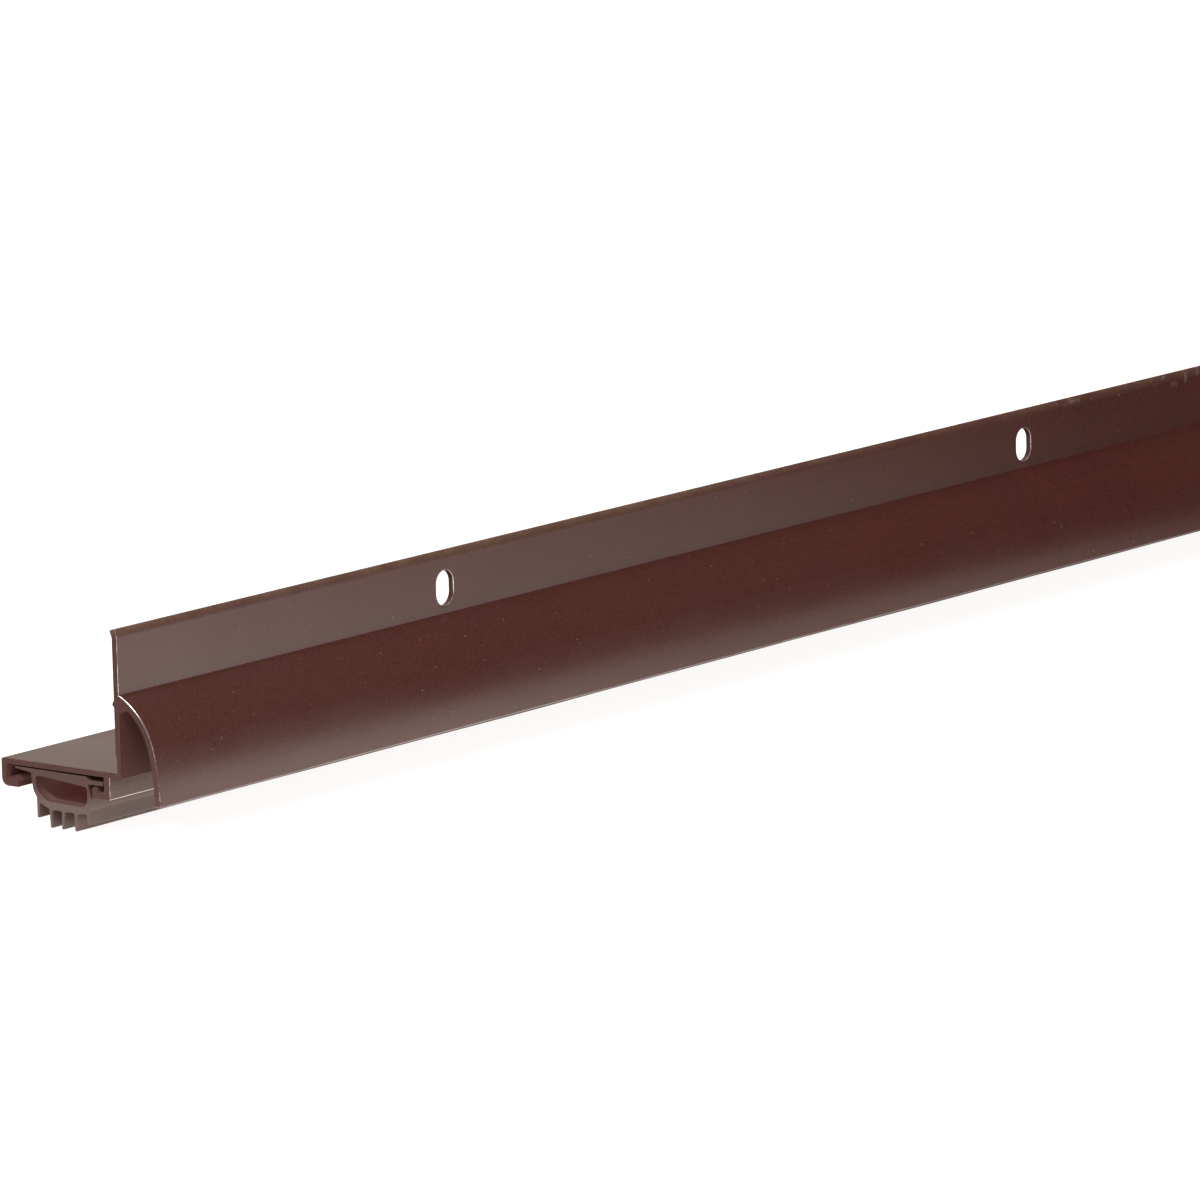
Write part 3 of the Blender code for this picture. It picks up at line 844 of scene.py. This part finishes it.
def sheet(name, half, height):
    """A flat square of side 2 * half, facing up."""
    mesh = bpy.data.meshes.new(name)
    corners = np.array([(-1, -1, 0), (1, -1, 0), (1, 1, 0), (-1, 1, 0)]) * half
    corners = corners + np.array([0, 0, height])
    mesh.from_pydata(corners.tolist(), [], [(0, 1, 2, 3)])
    made = bpy.data.objects.new(name, mesh)
    bpy.context.scene.collection.objects.link(made)
    return made


floor = sheet("floor", 40, floor_height)
floor_paint, tree, shader, place = new_finish("white_floor")
shader.inputs["Base Color"].default_value = (0.3, 0.3, 0.3, 1)
shader.inputs["Roughness"].default_value = 0.8
shader.inputs["Emission Color"].default_value = (1, 0.99, 0.98, 1)
shader.inputs["Emission Strength"].default_value = 0.93
floor_paint.cycles.emission_sampling = "NONE"
floor.data.materials.append(floor_paint)
floor.visible_glossy = False


def only_in_reflections(thing):
    """Hide a card from everything but glossy rays."""
    thing.visible_camera = False
    thing.visible_diffuse = False
    thing.visible_shadow = False
    thing.visible_transmission = False


def glow(name):
    """A material that only shines, and isn't sampled as a lamp. Returns it, its tree and its shader."""
    made = bpy.data.materials.new(name)
    made.use_nodes = True
    made.cycles.emission_sampling = "NONE"
    tree = made.node_tree
    tree.nodes.remove(tree.nodes["Principled BSDF"])
    shine = add(tree, "Emission")
    tree.links.new(shine.outputs[0], tree.nodes["Material Output"].inputs["Surface"])
    return made, tree, shine, add(tree, "TexCoord").outputs["Object"]


# %% [markdown]
# ## The card and the tent
#
# The card is brightest near the left cut end and falls away to nothing towards the right, so the
# flange's shine does the same along the sweep. It is more than twice as bright in front of the
# sweep as behind it, for the sheen low on the drip cap. The tent is half a ball, a little pale
# light at the back and almost dark elsewhere.

# %% The card on the floor
card = sheet("floor_card", 12, floor_height - 0.1 * MM)
card_glow, tree, shine, place = glow("floor_card_glow")
card_place = add(tree, "SeparateXYZ", {"Vector": place})
pool = add(tree, "ValToRGB", {"Fac": between(tree, card_place.outputs["X"], -0.6, 0.2)})
pool_stops = ((0.00, 0.50), (0.14, 0.82), (0.25, 1.0), (0.33, 1.0), (0.44, 0.68),
              (0.54, 0.53), (0.655, 0.40), (0.775, 0.17), (0.87, 0.04), (1.0, 0.0))
pool.color_ramp.elements.remove(pool.color_ramp.elements[1])
for stop, level in pool_stops:
    made = pool.color_ramp.elements.new(stop) if stop else pool.color_ramp.elements[0]
    made.color = (level, level, level, 1)
behind = between(tree, card_place.outputs["Y"], -0.03, 0.05, 2.2, 0.9)
close = between(tree, card_place.outputs["Y"], -0.11, -0.045, 1.0, 0.88)
fade = times(tree, behind, close)
tree.links.new(times(tree, pool.outputs["Color"], fade), shine.inputs["Strength"])
shine.inputs["Color"].default_value = (1.0, 0.925, 0.875, 1)
card.data.materials.append(card_glow)
only_in_reflections(card)

# %% The tent


def dome(name, radius, rows, columns):
    """A half ball over the floor: longitude along each row, latitude from row to row."""
    latitude = np.linspace(0, math.pi / 2, rows)[:, None]
    longitude = np.linspace(0, 2 * math.pi, columns, endpoint=False)[None, :]
    x = radius * np.cos(latitude) * np.cos(longitude)
    y = radius * np.cos(latitude) * np.sin(longitude)
    z = np.broadcast_to(radius * np.sin(latitude), x.shape) + floor_height
    mesh = bpy.data.meshes.new(name)
    points = np.stack([x, y, z], 2).reshape(-1, 3)
    mesh.from_pydata(points.tolist(), [], ring_quads(rows, columns).reshape(-1, 4).tolist())
    mesh.shade_smooth()
    made = bpy.data.objects.new(name, mesh)
    bpy.context.scene.collection.objects.link(made)
    return made


TENT_RADIUS = 9.0
tent = dome("tent", TENT_RADIUS, 19, 48)
tent_glow, tree, shine, place = glow("tent_glow")
direction = add(tree, "SeparateXYZ", {"Vector": place})
back_side = between(tree, direction.outputs["Y"], 0.30 * TENT_RADIUS, 0.62 * TENT_RADIUS, 0.018, 0.57)
tree.links.new(back_side, shine.inputs["Strength"])
shine.inputs["Color"].default_value = (1.0, 0.93, 0.84, 1)
tent.data.materials.append(tent_glow)
only_in_reflections(tent)

# %% [markdown]
# ## Lights
#
# A small softbox at the upper left picks out the dressed edges, a large one overhead and a pale
# world fill the rest. Bare lamps would leave hard shadows that a soft studio doesn't have.

# %% Lights
world = bpy.data.worlds.new("soft_fill")
world.use_nodes = True
world.node_tree.nodes["Background"].inputs["Color"].default_value = (1, 0.99, 0.98, 1)
world.node_tree.nodes["Background"].inputs["Strength"].default_value = 0.75
bpy.context.scene.world = world


def softbox(name, place, aim, size, power):
    """A square area light at place that faces aim."""
    lamp = bpy.data.lights.new(name, "AREA")
    lamp.shape, lamp.size, lamp.energy = "SQUARE", size, power
    made = bpy.data.objects.new(name, lamp)
    made.location = place
    towards = np.array(aim, float) - np.array(place, float)
    heading = math.atan2(towards[1], towards[0]) - math.pi / 2
    tilt = math.atan2(np.hypot(towards[0], towards[1]), -towards[2])
    made.rotation_euler = (tilt, 0, heading)
    bpy.context.scene.collection.objects.link(made)
    return made


softbox("key_softbox", (-1.35, -0.30, 1.55), (-0.40, 0, 0), 0.42, 16)
softbox("top_softbox", (0.2, 0.3, 2.6), (0, 0, 0), 2.2, 30)

# %% [markdown]
# ## Camera
#
# A long lens from the front left, a little above, which keeps the sweep's long edges almost
# parallel. The angles are the heading from +X, the tilt below the horizon and a slight roll.

# %% Camera
camera_data = bpy.data.cameras.new("camera")
camera_data.lens = 268.27
camera_data.sensor_width = 36.0
camera_data.clip_end = 100
camera = bpy.data.objects.new("camera", camera_data)
bpy.context.scene.collection.objects.link(camera)
heading, look_down, roll = math.radians(38.869), math.radians(10.607), math.radians(-1.434)
turned = (Matrix.Rotation(heading - math.pi / 2, 4, "Z")
          @ Matrix.Rotation(math.pi / 2 - look_down, 4, "X")
          @ Matrix.Rotation(roll, 4, "Z"))
camera.matrix_world = Matrix.Translation((-1.9092, -1.3106, 0.4023)) @ turned
bpy.context.scene.camera = camera

# %% [markdown]
# ## Finish
#
# The picture uses the plain display transform, so that the white floor stays white.

# %% Display transform
bpy.context.scene.view_settings.view_transform = "Standard"
